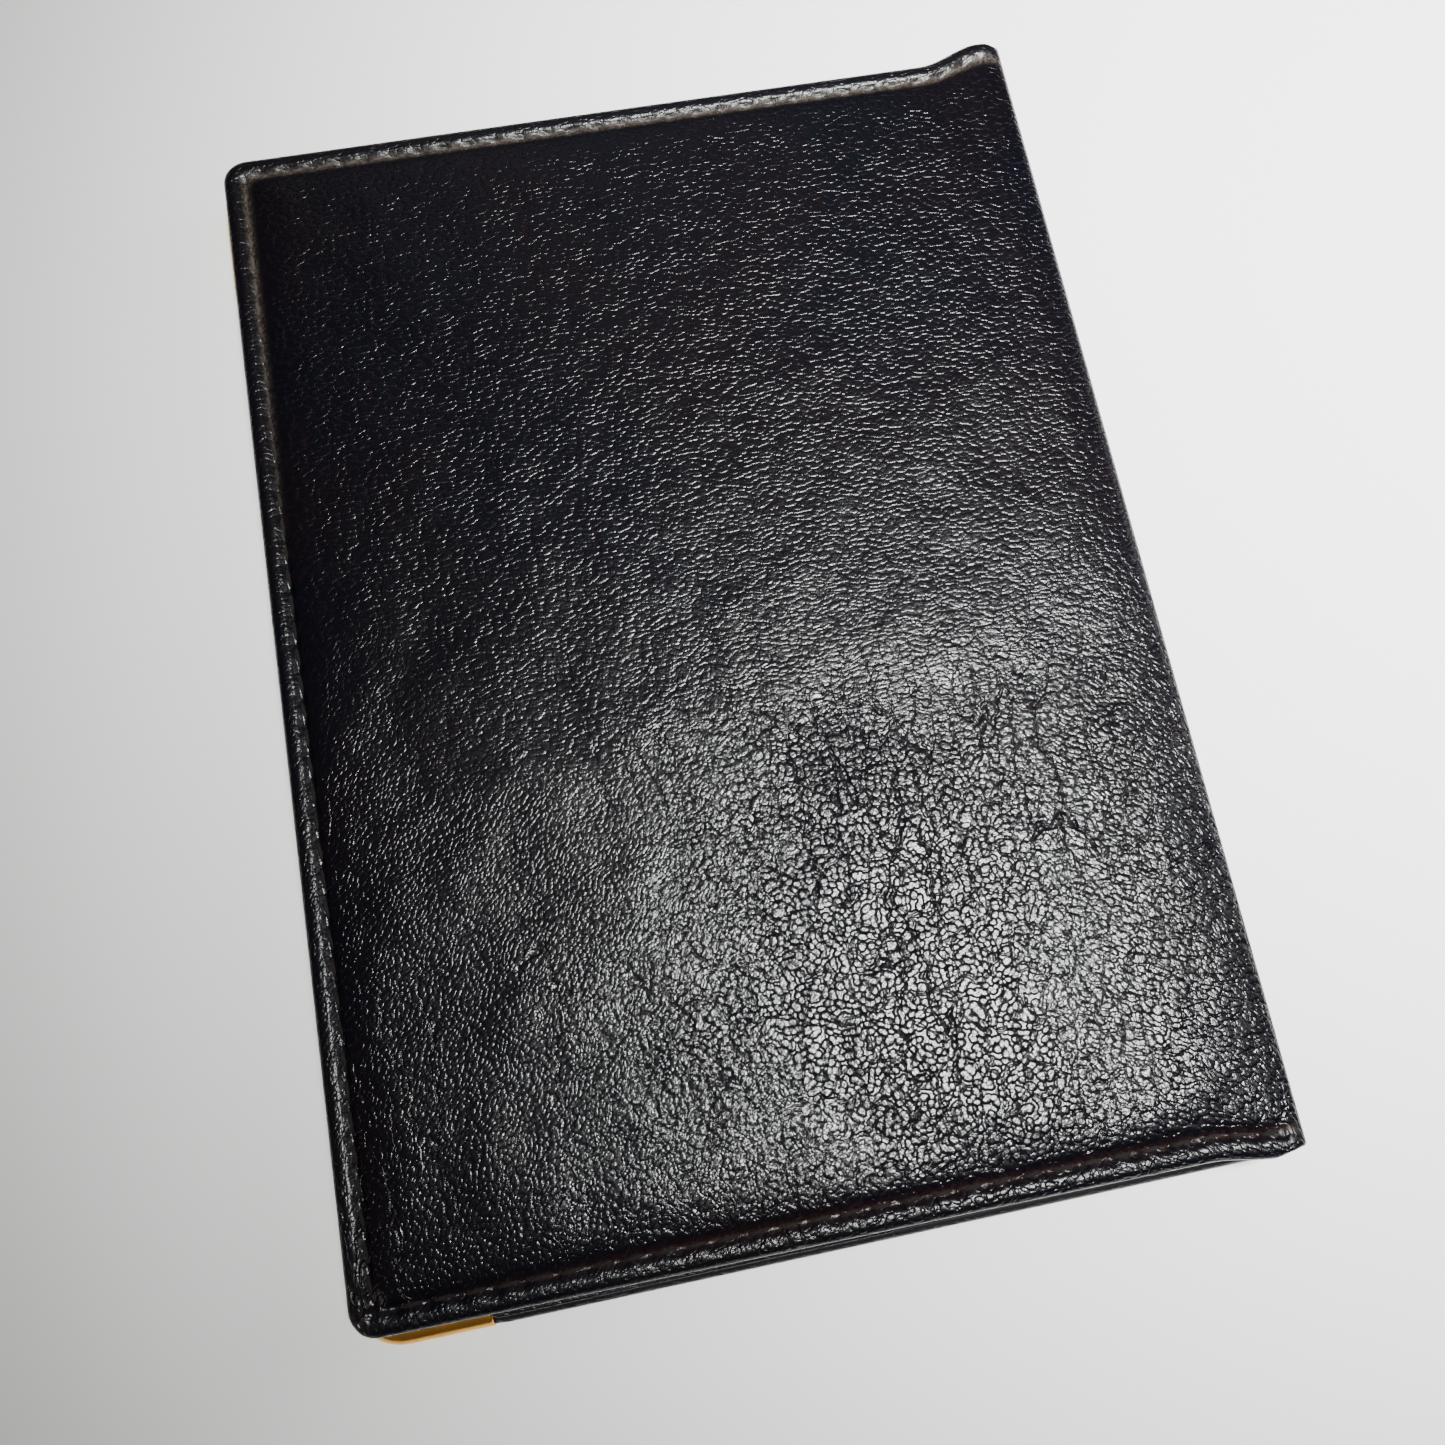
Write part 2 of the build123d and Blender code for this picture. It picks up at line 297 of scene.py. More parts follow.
class Cover:
    """A cover's place, its size and the shape of its outer face."""

    def __init__(self, name, joint, out, turn):
        self.name = name
        self.body = f"{name}_cover"
        self.axis = np.array(joints[joint]["pos_m"])
        self.out = out
        self.turn = turn
        self.corner_r = BACK_CORNER_R if out > 0 else FRONT_CORNER_R
        low, high = self.extent(f"{name}_leather")
        self.u_edge = low[0]
        self.v_low = low[1]
        self.v_high = high[1]
        self.w_top = high[2]
        self.w_hem = self.w_top - HEM_DEPTH
        self.ear_head = spine_high.y - self.axis[1] - self.v_high
        self.ear_tail = self.v_low - (spine_low.y - self.axis[1])
        self.half_spine = (joints["back_fold"]["pos_m"][2] - joints["front_fold"]["pos_m"][2]) / 2

    def extent(self, node):
        """Lowest and highest u, v and w of a CAD node."""
        mesh = frame["nodes"][node].data
        co = np.empty(len(mesh.vertices) * 3)
        mesh.vertices.foreach_get("co", co)
        p = co.reshape(-1, 3) - self.axis
        c, s = math.cos(self.turn), math.sin(self.turn)
        u = p[:, 0] * c + p[:, 1] * s
        v = -p[:, 0] * s + p[:, 1] * c
        local = np.stack([u, v, p[:, 2] * self.out])
        return local.min(axis=1), local.max(axis=1)

    def place(self, u, v, w, turn=None):
        """The point of the frame at a cover's own u, v and w."""
        angle = self.turn if turn is None else turn
        c, s = np.cos(angle), np.sin(angle)
        x = self.axis[0] + u * c - v * s
        y = self.axis[1] + u * s + v * c
        z = self.axis[2] + self.out * w + 0 * u
        return np.stack(np.broadcast_arrays(x, y, z), axis=-1)

    def seam_depth(self, u, v):
        """Distance in from the free edges, rounded at the corners."""
        side = soft_min(v - self.v_low, self.v_high - v, 1.0 * MM)
        return soft_min(u - self.u_edge, side, 1.2 * MM)

    def stitch_wave(self, u, v):
        """1 at the middle of each stitch and -1 at the needle holes between them."""
        to_side = np.minimum(v - self.v_low, self.v_high - v)
        along = np.where(to_side < u - self.u_edge, u, v)
        return np.cos(2 * math.pi * along / PITCH)

    def face(self, u, v):
        """Height w of the outer face: hem, stitched groove and padded field."""
        depth = self.seam_depth(u, v)
        inner = np.maximum(depth - SEAM - 0.3 * MM, 0)
        fold = np.maximum(-u - FLAT_START, 0)
        shoulder = 1 - np.exp(-fold / (2.0 * MM))
        base = self.w_hem + 0.25 * MM * np.exp(-np.maximum(-u, 0) / (3.0 * MM))
        rise = HEM_DEPTH * (1 - np.exp(-inner / (1.3 * MM)))
        dome = self.dome(u, v) if self.out > 0 else 0
        wave = self.stitch_wave(u, v)
        groove = bell(depth - SEAM, 0.42 * MM) * (0.34 * MM - 0.1 * MM * wave)
        groove *= smooth((-u - 0.4 * MM) / (2 * MM))
        crown = 0.06 * MM * np.sin(math.pi * np.clip(depth / SEAM, 0, 1))
        pucker = wave * bell(depth - 1.5 * MM, 0.4 * MM)
        pucker *= (0.012 + 0.035 * smooth((self.v_low + TAIL_SEAM - v) / (6 * MM))) * MM
        pucker *= 1 + 0.5 * ripples(u, v, 6 * MM, 11)
        if self.out < 0:
            pucker *= 0.3
        field = 0.03 * MM * ripples(u, v, 13 * MM, 3) + 0.014 * MM * ripples(u, v, 5 * MM, 4)
        field *= smooth(inner / (4 * MM)) * smooth(fold / (5 * MM))
        height = base + (rise + dome) * shoulder - groove + crown + pucker + field
        if self.out < 0:
            height = np.minimum(height, self.w_top)
        return height

    def dome(self, u, v):
        """How much higher the padding is towards the middle of the cover."""
        across = 1 - (2 * u / self.u_edge - 1) ** 2
        along = 1 - ((2 * v - self.v_low - self.v_high) / (self.v_high - self.v_low)) ** 2
        return 0.3 * MM * np.sqrt(np.clip(across, 0, 1) * np.clip(along, 0, 1))

    def ear(self, u, v):
        """How far the leather is drawn out along v near the spine's two ends."""
        from_fold = np.maximum(-u, 0)
        lift = smooth((EAR_REACH - from_fold) / (EAR_REACH - EAR_PEAK))
        at_fold = 1 - 0.25 * smooth((EAR_PEAK - from_fold) / EAR_PEAK)
        lift = np.where(from_fold < EAR_PEAK, at_fold, lift)
        to_head = smooth((v - self.v_high + EAR_LENGTH) / EAR_LENGTH) ** 2
        to_tail = smooth((self.v_low + EAR_LENGTH - v) / EAR_LENGTH) ** 2
        return self.ear_head * lift * to_head - self.ear_tail * lift * to_tail

    def turn_at(self, u):
        """The cover's turn at this distance from the fold, because the spine itself is square."""
        return self.turn * smooth(-u / (6 * MM))

    def surface(self, u, v):
        """Points of the outer face over the cover itself."""
        return self.place(u, v + self.ear(u, v), self.face(u, v), self.turn_at(u))


def dustiness(y):
    """How much dust a seam holds at this height on the case: more towards its head."""
    return smooth((y - 8 * MM) / (40 * MM))


back = Cover("back", "back_fold", 1, 0.0)
front = Cover("front", "front_fold", -1, FRONT_TURN)


def metal_press(cover, u, v):
    """1 under the front cover's metal corners and 0 away from them."""
    if cover is not front:
        return np.zeros(np.broadcast(u, v).shape)
    from_edge = u - cover.u_edge
    from_side = np.minimum(v - cover.v_low, cover.v_high - v)
    return smooth((METAL_LEG + 0.4 * MM - from_edge - from_side) / (0.8 * MM))


def cover_skin(cover):
    """The leather over a cover and over its half of the spine, in one piece."""
    rows = spaced(cover.v_low + ROLL, cover.v_high - ROLL, STEP, FINE_STEP, FINE_WIDTH)
    flat = spaced(FLAT_START, -cover.u_edge - ROLL, STEP, FINE_STEP, FINE_WIDTH)

    # Up the spine, slightly rounded, and round the fold
    spine_w = np.linspace(-cover.half_spine, -FOLD_TOP, 9)[:-1]
    spine_u = 0.45 * MM + 0.2 * MM * (1 - ((spine_w + cover.half_spine) / cover.half_spine) ** 2)
    arc = np.linspace(0, math.pi / 2, 9)[:-1]
    fold_u = np.concatenate([spine_u, -FLAT_START + 1.35 * MM * np.cos(arc)])
    fold_w = np.concatenate([spine_w, -FOLD_TOP + 2 * FOLD_TOP * np.sin(arc)])
    bend = len(fold_u)

    u, v = np.meshgrid(np.concatenate([fold_u, -flat]), rows, indexing="ij")
    u, v = cut_corners(u, v, cover.u_edge + ROLL, rows[0], rows[-1], cover.corner_r - ROLL, 2)
    w = cover.face(np.minimum(u, -FLAT_START), v)
    above_fold = w[bend : bend + 1, :] - FOLD_TOP
    w[:bend] = fold_w[:, None] + above_fold * smooth((fold_w[:, None] + FOLD_TOP) / (2 * FOLD_TOP))

    # Under the metal corners the leather is pressed thinner and drawn in from the edge
    pressed = metal_press(cover, u, v)
    w = w + (cover.w_hem - 0.05 * MM - w) * pressed
    inset = 1.8 * METAL * pressed
    middle_v = (cover.v_low + cover.v_high) / 2
    from_end = (cover.v_high - cover.v_low) / 2 - np.abs(v - middle_v)
    u_in = u + inset * smooth(1 - (u - cover.u_edge) / PRESS_REACH)
    v_in = v - np.sign(v - middle_v) * inset * smooth(1 - from_end / PRESS_REACH)
    points = cover.place(u_in, v_in + cover.ear(u, v), w, cover.turn_at(u))
    thick = SKIN / 2 + (ROLL - SKIN / 2) * smooth((-u - 1.0 * MM) / (1.6 * MM))
    thick -= 0.16 * MM * pressed

    depth = cover.seam_depth(u, v)
    seam = bell(depth - SEAM - 0.1 * MM, 0.38 * MM) * smooth((0.5 * MM - u) / MM)
    tail = smooth((cover.v_low + TAIL_SEAM - v) / (8 * MM))
    values = {
        "dust": seam * dustiness(v) * (1 - tail),
        "rust": seam * tail * smooth((u - cover.u_edge) / (22 * MM)),
        "hem": smooth((SEAM + 0.5 * MM - depth) / (0.8 * MM)),
    }

    # On the flat hide the two covers' leather meets along the middle of the spine
    path = np.stack([fold_u, fold_w], axis=-1)
    steps = np.linalg.norm(np.diff(np.vstack([path, [-FLAT_START, FOLD_TOP]]), axis=0), axis=1)
    unrolled = -FLAT_START + np.cumsum(steps[::-1])[::-1]
    flat_u = np.concatenate([unrolled[:, None] + 0 * v[:bend], u[bend:]])
    if cover is front:
        flat_u = 2 * unrolled[0] - flat_u
    return closed_sheet(
        f"{cover.name}_cover_leather", points, np.stack([flat_u, v], axis=-1), thick,
        (0, 0, cover.out), open_start=True, values=values,
    )


# ---------------------------------------------------------------- materials

# Colours of the cover leather
BLUE_BLACK = (0.0008, 0.0010, 0.0027)
AUBERGINE = (0.0016, 0.0010, 0.0023)
CREASE_TINT = (0.0036, 0.0015, 0.0030)
DUST = (0.075, 0.060, 0.049)
RUST = (0.016, 0.006, 0.0045)
FLESH_SIDE = (0.006, 0.0045, 0.006)


class Shader:
    """A node material. Its calls take sockets or plain numbers and give back sockets."""

    def __init__(self, name, space="3D", **settings):
        self.space = space
        self.material = bpy.data.materials.new(name)
        self.material.use_nodes = True
        self.tree = self.material.node_tree
        self.base = self.tree.nodes["Principled BSDF"]
        for key, value in settings.items():
            label = key.replace("_", " ").title().replace("Ior", "IOR")
            self.base.inputs[label].default_value = value

    def put(self, socket, value):
        """Links a socket to an input, or sets the input to a plain value."""
        if hasattr(value, "is_output"):
            self.tree.links.new(value, socket)
        elif value is not None:
            socket.default_value = value

    def node(self, kind, **settings):
        made = self.tree.nodes.new(kind)
        for key, value in settings.items():
            setattr(made, key, value)
        return made

    def math(self, operation, a, b=None, clamp=False):
        made = self.node("ShaderNodeMath", operation=operation, use_clamp=clamp)
        self.put(made.inputs[0], a)
        self.put(made.inputs[1], b)
        return made.outputs[0]

    def add(self, *terms):
        total = terms[0]
        for term in terms[1:]:
            total = self.math("ADD", total, term)
        return total

    def times(self, *factors):
        total = factors[0]
        for factor in factors[1:]:
            total = self.math("MULTIPLY", total, factor)
        return total

    def step(self, value, low, high, to_low=0.0, to_high=1.0):
        """A smooth step from to_low to to_high as value goes from low to high."""
        made = self.node("ShaderNodeMapRange", interpolation_type="SMOOTHSTEP")
        self.put(made.inputs["Value"], value)
        made.inputs["From Min"].default_value = low
        made.inputs["From Max"].default_value = high
        made.inputs["To Min"].default_value = to_low
        made.inputs["To Max"].default_value = to_high
        return made.outputs["Result"]

    def mix(self, factor, a, b):
        made = self.node("ShaderNodeMix", data_type="RGBA")
        self.put(made.inputs["Factor"], factor)
        self.put(made.inputs["A"], (*a, 1) if isinstance(a, tuple) else a)
        self.put(made.inputs["B"], (*b, 1) if isinstance(b, tuple) else b)
        return made.outputs["Result"]

    def blend(self, factor, a, b):
        """A number between a and b."""
        made = self.node("ShaderNodeMix", data_type="FLOAT")
        self.put(made.inputs["Factor"], factor)
        self.put(made.inputs["A"], a)
        self.put(made.inputs["B"], b)
        return made.outputs["Result"]

    def place(self):
        """The point in millimetres."""
        coords = self.node("ShaderNodeTexCoord")
        return self.stretch(coords.outputs["Object"], (1000, 1000, 1000))

    def hide(self):
        """The point's place on the flat hide or cloth, in millimetres."""
        return self.node("ShaderNodeAttribute", attribute_name="hide").outputs["Vector"]

    def stretch(self, vector, factors):
        made = self.node("ShaderNodeVectorMath", operation="MULTIPLY")
        self.put(made.inputs[0], vector)
        made.inputs[1].default_value = factors
        return made.outputs[0]

    def shove(self, vector, amount, per_mm):
        """The vector moved about by up to amount, by noise of this many waves a millimetre."""
        noise = self.node("ShaderNodeTexNoise", noise_dimensions=self.space)
        self.put(noise.inputs["Vector"], vector)
        noise.inputs["Scale"].default_value = per_mm
        noise.inputs["Detail"].default_value = 0.0
        centre = self.node("ShaderNodeVectorMath", operation="SUBTRACT")
        self.put(centre.inputs[0], noise.outputs["Color"])
        centre.inputs[1].default_value = (0.5, 0.5, 0.5)
        scaled = self.stretch(centre.outputs[0], (2 * amount,) * 3)
        total = self.node("ShaderNodeVectorMath", operation="ADD")
        self.put(total.inputs[0], vector)
        self.put(total.inputs[1], scaled)
        return total.outputs[0]

    def parts(self, vector):
        made = self.node("ShaderNodeSeparateXYZ")
        self.put(made.inputs[0], vector)
        return made.outputs

    def noise(self, vector, per_mm, detail=2.0, roughness=0.5):
        made = self.node("ShaderNodeTexNoise", noise_dimensions=self.space)
        self.put(made.inputs["Vector"], vector)
        made.inputs["Scale"].default_value = per_mm
        made.inputs["Detail"].default_value = detail
        made.inputs["Roughness"].default_value = roughness
        return made.outputs["Fac"]

    def cells(self, vector, per_mm, feature="DISTANCE_TO_EDGE"):
        made = self.node("ShaderNodeTexVoronoi", feature=feature, voronoi_dimensions=self.space)
        self.put(made.inputs["Vector"], vector)
        made.inputs["Scale"].default_value = per_mm
        return made.outputs["Distance"]

    def value(self, name):
        made = self.node("ShaderNodeAttribute", attribute_name=name)
        return made.outputs["Fac"]

    def bump(self, height_mm):
        made = self.node("ShaderNodeBump")
        made.inputs["Distance"].default_value = MM
        self.put(made.inputs["Height"], height_mm)
        self.tree.links.new(made.outputs["Normal"], self.base.inputs["Normal"])

    def finish(self, color, roughness):
        self.put(self.base.inputs["Base Color"], (*color, 1) if isinstance(color, tuple) else color)
        self.put(self.base.inputs["Roughness"], roughness)
        return self.material


def outer_leather():
    """Pebbled hide: rippled across at the head, drawn out along the fore-edge, round elsewhere."""
    m = Shader("outer_leather", "2D", specular_ior_level=0.24)
    place = m.hide()
    u, v, _ = m.parts(place)
    warped = m.shove(place, 0.3, 0.5)
    broad = m.times(m.add(m.noise(place, 0.05), -0.5), 40.0)
    up = m.step(m.add(v, broad), -16.0, 4.0)
    left = m.step(m.add(m.times(u, -1.0), broad), 30.0, 64.0)
    right = m.step(m.add(u, m.times(broad, 0.4)), -22.0, -8.0)

    def pebbles(turn, along, across):
        """0 over the flat top of each pebble, rising to about 1 in the creases between them.
        They are drawn out in the direction turned this many degrees from u."""
        turned = m.node("ShaderNodeVectorRotate", rotation_type="Z_AXIS")
        m.put(turned.inputs["Vector"], warped)
        turned.inputs["Angle"].default_value = math.radians(-turn)
        near = m.cells(m.stretch(turned.outputs[0], (along, across, 1)), 1.0, "F1")
        square = m.times(near, near)
        return m.math("MULTIPLY", m.times(square, square), 4.5, clamp=True)

    crease = m.blend(left, pebbles(0, 1.6, 1.75), pebbles(50, 1.9, 3.1))
    crease = m.blend(right, crease, pebbles(-35, 1.35, 2.3))
    crease = m.blend(up, crease, pebbles(0, 1.45, 2.6))
    jagged = m.shove(place, 0.45, 0.9)
    cracks = m.step(m.cells(m.stretch(jagged, (0.55, 0.3, 1)), 1.0), 0.07, 0.0)
    cracks = m.times(cracks, m.step(v, 4.0, -16.0, 0.2, 1.0), m.blend(left, 1.0, 0.12))
    strands = m.cells(m.stretch(m.shove(jagged, 1.4, 0.15), (0.4, 0.07, 1)), 1.0)
    patchy = m.step(m.noise(m.stretch(place, (1.0, 0.3, 1)), 0.09, 1.0), 0.5, 0.62)
    vein_area = m.times(patchy, m.step(v, -6.0, -18.0))
    veins = m.times(m.step(strands, 0.05, 0.0), vein_area)
    pores = m.noise(place, 4.5, 1.0, 0.7)

    # Heights in millimetres
    creased = m.times(crease, m.blend(up, m.blend(left, -0.07, -0.03), -0.028))
    cracked = m.times(cracks, -0.035)
    veined = m.times(veins, -0.1)
    porous = m.times(pores, m.blend(up, m.blend(left, 0.018, 0.012), 0.017))
    uneven = m.times(m.noise(place, 0.8), m.blend(up, m.blend(left, 0.03, 0.01), 0.02))
    height = m.add(creased, cracked, veined, porous, uneven)
    reverse = m.value("reverse")
    m.bump(m.times(height, m.blend(reverse, 1.0, 0.2)))

    dark = m.step(crease, 0.25, 0.8)
    dark = m.math("MAXIMUM", dark, m.math("MAXIMUM", m.times(cracks, 0.6), veins))
    tint = m.step(m.noise(place, 0.045, 2.0), 0.35, 0.65)
    color = m.mix(tint, BLUE_BLACK, AUBERGINE)
    color = m.mix(m.times(dark, 0.7), color, CREASE_TINT)
    patch = m.step(m.noise(place, 1.8, 4.0, 0.7), 0.38, 0.62)
    specks = m.step(m.noise(place, 4.0, 2.0, 0.7), 0.42, 0.62)
    dust = m.value("dust")
    speckle = m.times(m.blend(patch, 0.4, 1.0), m.blend(specks, 0.35, 1.0))
    dust = m.math("MULTIPLY", dust, speckle, clamp=True)
    color = m.mix(dust, color, DUST)
    rust = m.math("MULTIPLY", m.value("rust"), m.blend(patch, 0.3, 1.0), clamp=True)
    color = m.mix(m.times(rust, 0.8), color, RUST)
    wear = m.blend(m.noise(place, 0.6, 3.0), 0.2, 0.25)
    wear = m.add(wear, m.times(m.value("hem"), 0.06), m.times(dust, 0.5), m.times(rust, 0.2))
    rough_side = m.step(reverse, 0.7, 1.0)
    color = m.mix(rough_side, color, FLESH_SIDE)
    return m.finish(color, m.blend(rough_side, wear, 0.8))


def pocket_leather():
    """Thin pocket hide with a finer, even grain."""
    m = Shader("pocket_leather", "2D", specular_ior_level=0.24)
    place = m.hide()
    warped = m.shove(place, 0.2, 0.8)
    grain = m.step(m.cells(m.stretch(warped, (1.9, 2.1, 1.9)), 1.0), 0.0, 0.25)
    pores = m.noise(place, 10.0, 3.0, 0.6)
    m.bump(m.add(m.times(grain, 0.03), m.times(pores, 0.02), m.times(m.noise(place, 0.5), 0.04)))
    tint = m.step(m.noise(place, 0.06, 2.0), 0.35, 0.65)
    color = m.mix(tint, (0.0028, 0.0024, 0.0036), (0.0055, 0.0034, 0.005))
    seam = m.math("MULTIPLY", m.value("dust"), m.noise(place, 1.5, 3.0), clamp=True)
    color = m.mix(seam, color, (0.02, 0.014, 0.012))
    return m.finish(color, m.blend(m.noise(place, 0.5, 3.0), 0.28, 0.38))


def lining_fabric():
    """Ribbed lining cloth, with its ribs across the case."""
    sheen = {"sheen_weight": 0.05, "sheen_roughness": 0.4}
    m = Shader("lining_fabric", "2D", specular_ior_level=0.25, **sheen)
    place = m.shove(m.hide(), 0.05, 0.5)
    x, y, _ = m.parts(place)
    rib = m.math("SINE", m.times(y, 2 * math.pi / 0.42))
    yarn = m.math("SINE", m.times(x, 2 * math.pi / 0.16))
    fuzz = m.noise(place, 12.0, 2.0)
    m.bump(m.add(m.times(rib, 0.022), m.times(yarn, 0.006), m.times(fuzz, 0.012)))
    moire = m.step(m.noise(m.stretch(place, (0.35, 0.06, 0.06)), 1.0, 3.0), 0.35, 0.65)
    color = m.mix(moire, (0.0075, 0.004, 0.0065), (0.014, 0.0075, 0.0115))
    # Painted shade: the colour is darkened in the valleys between the ribs
    rib_valley_shade = m.step(rib, 0.2, -0.8)
    color = m.mix(m.times(rib_valley_shade, 0.6), color, (0.003, 0.002, 0.003))
    return m.finish(color, m.blend(moire, 0.58, 0.46))


def thread_fibre():
    """Twisted sewing thread, nearly black, with dust on it where the seam is dusty."""
    m = Shader("thread_fibre", sheen_weight=0.05, sheen_roughness=0.5, specular_ior_level=0.2)
    place = m.place()
    fuzz = m.noise(place, 14.0, 3.0, 0.7)
    m.bump(m.times(fuzz, 0.03))
    shade = m.step(m.noise(place, 0.35, 2.0), 0.35, 0.65)
    color = m.mix(shade, (0.0025, 0.0014, 0.0014), (0.006, 0.0028, 0.0024))
    dust = m.times(m.value("dust"), m.step(m.noise(place, 1.1, 3.0, 0.6), 0.35, 0.6, 0.35, 1.0))
    color = m.mix(dust, color, (0.055, 0.042, 0.033))
    return m.finish(color, m.blend(fuzz, 0.6, 0.85))


def gold_plate():
    """Amber gold plate with hairline scratches and a duller worn film in places."""
    m = Shader("gold_plate", metallic=1.0, specular_ior_level=0.5)
    place = m.place()
    hair = m.noise(m.stretch(m.shove(place, 0.4, 0.2), (0.6, 7.0, 3.0)), 1.0, 3.0, 0.6)
    m.bump(m.add(m.times(hair, 0.002), m.times(m.noise(place, 0.6, 1.0), 0.006)))
    film = m.step(m.noise(place, 0.5, 4.0, 0.6), 0.4, 0.65)
    color = m.mix(film, (0.82, 0.41, 0.087), (0.75, 0.35, 0.067))
    return m.finish(color, m.add(m.blend(film, 0.2, 0.25), m.times(hair, 0.06)))


def paperboard():
    """Grey board with a fibrous face."""
    m = Shader("paperboard", specular_ior_level=0.2)
    place = m.place()
    fibre = m.noise(m.stretch(place, (1.0, 4.0, 4.0)), 2.0, 4.0, 0.7)
    m.bump(m.times(fibre, 0.03))
    return m.finish(m.mix(fibre, (0.16, 0.14, 0.12), (0.34, 0.31, 0.27)), 0.9)


def woven_tape():
    """Plain woven reinforcing tape."""
    m = Shader("woven_tape", specular_ior_level=0.2)
    place = m.place()
    _, y, z = m.parts(place)
    yarn = 2 * math.pi / 0.35
    warp = m.math("SINE", m.times(z, yarn))
    weft = m.math("SINE", m.times(y, yarn))
    m.bump(m.times(m.math("MULTIPLY", warp, weft), 0.03))
    color = m.mix(m.noise(place, 3.0, 3.0), (0.010, 0.008, 0.009), (0.022, 0.018, 0.019))
    return m.finish(color, 0.9)


def paper_floor():
    """Plain pale paper."""
    m = Shader("paper_floor", specular_ior_level=0.2)
    place = m.place()
    m.bump(m.times(m.noise(place, 1.5, 4.0, 0.6), 0.01))
    shade = m.noise(place, 0.01, 2.0)
    return m.finish(m.mix(shade, (0.80, 0.82, 0.81), (0.84, 0.86, 0.85)), 0.85)


LEATHER = outer_leather()
POCKET = pocket_leather()
LINING = lining_fabric()
THREAD = thread_fibre()
GOLD = gold_plate()
BOARD = paperboard()
TAPE = woven_tape()
PAPER = paper_floor()


def dress(piece, material, slot, *nodes):
    """Gives a piece its material, and hides the CAD nodes that it stands for. slot is not used."""
    piece.data.materials.clear()
    piece.data.materials.append(material)
    if nodes:
        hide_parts(*nodes)
    return piece


# ---------------------------------------------------------------- cover leather

for cover, near, far in ((back, "spine", "back_cover"), (front, "spine", "front_cover")):
    skin = cover_skin(cover)
    leather = f"{cover.name}_leather"
    padding = f"{cover.name}_padding"
    dress(skin, LEATHER, "outer_leather", leather, padding, "spine_leather")
    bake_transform(skin)


# ---------------------------------------------------------------- pockets, gussets and linings


def pocket(cover, node, notch=None, corner_power=2, corner=PANEL_CORNER_R):
    """A pocket's panel: rolled edges, stitched in at its three outer sides and along its mouth."""
    low, high = cover.extent(node)
    half = (high[2] - low[2]) / 2
    steps = (0.6 * MM, 0.25 * MM, 3.4 * MM)
    columns = spaced(low[0] + half, high[0] - half, *steps)
    rows = spaced(low[1] + half, high[1] - half, *steps)
    u, v = np.meshgrid(columns, rows, indexing="ij")
    u, v = cut_corners(u, v, columns[0], rows[0], rows[-1], corner, corner_power)
    middle = (low[1] + high[1]) / 2
    stitched = np.ones(v.shape)
    if notch:
        depth, width = notch
        arc = depth * smooth(1 - np.abs(v - middle) / (width / 2)) ** 0.75
        near_mouth = smooth((u - (high[0] - 24 * MM)) / (24 * MM))
        u = u - arc * near_mouth
        stitched = smooth((np.abs(v - middle) - width / 2) / MM)
    from_side = soft_min(v - low[1], high[1] - v, MM)
    edge = soft_min(u - (low[0] + 1.4 * MM - SEAM), from_side + 0.6 * MM, MM)
    groove = bell(edge - SEAM, 0.4 * MM)
    at_mouth = columns[:, None] - (high[0] - MOUTH_SEAM) + 0 * v
    stitched = stitched * bell(at_mouth, 0.35 * MM)
    crease = 0 if notch else bell(at_mouth + 1.2 * MM, 0.22 * MM)
    height = -(groove * 0.12 + stitched * 0.1 + crease * 0.06) * MM
    height += 0.03 * MM * ripples(u, v, 18 * MM, 21) * smooth((edge - 3 * MM) / (6 * MM))
    points = cover.place(u, v, low[2] - height)
    values = {"dust": np.clip(groove + stitched, 0, 1) * 0.6}
    flat = np.stack([u, v], axis=-1)
    sheet = closed_sheet(
        f"{node}_panel", points, flat, half + 0 * u, (0, 0, -cover.out), values=values, rings=5,
        full_back=bool(notch),
    )
    dress(sheet, POCKET, "pocket_leather", node)
    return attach(sheet, cover.body)


def lining(cover, node, corner_power=2, corner=PANEL_CORNER_R):
    """A cover's lining cloth, with a few faint wrinkles near the fold."""
    low, high = cover.extent(node)
    half = (high[2] - low[2]) / 2
    columns = np.linspace(low[0] + half, high[0] - half, 90)
    rows = np.linspace(low[1] + half, high[1] - half, 130)
    u, v = np.meshgrid(columns, rows, indexing="ij")
    u, v = cut_corners(u, v, columns[0], rows[0], rows[-1], corner, corner_power)
    near_fold = smooth((u - (high[0] - 26 * MM)) / (20 * MM))
    wrinkle = ripples(u * 0.35, v, 7 * MM, 31) * near_fold * smooth((high[0] - u) / (3 * MM))
    points = cover.place(u, v, low[2] - 0.025 * MM * np.maximum(wrinkle, 0))
    flat = np.stack([u, v], axis=-1)
    cloth = closed_sheet(f"{node}_cloth", points, flat, half + 0 * u, (0, 0, -cover.out), rings=3)
    dress(cloth, LINING, "lining", node)
    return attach(cloth, cover.body)


def rounded_board(cover, node, corner):
    """A cover's board, with its two free corners rounded to lie inside the metal ones."""
    low, high = cover.extent(node)
    half = (high[2] - low[2]) / 2
    columns = np.linspace(low[0] + half, high[0] - half, 60)
    rows = np.linspace(low[1] + half, high[1] - half, 90)
    u, v = np.meshgrid(columns, rows, indexing="ij")
    u, v = cut_corners(u, v, columns[0], rows[0], rows[-1], corner, 2)
    points = cover.place(u, v, high[2])
    flat = np.stack([u, v], axis=-1)
    slab = closed_sheet(f"{node}_sheet", points, flat, half + 0 * u, (0, 0, cover.out), rings=4)
    dress(slab, BOARD, "board", node)
    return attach(slab, cover.body)


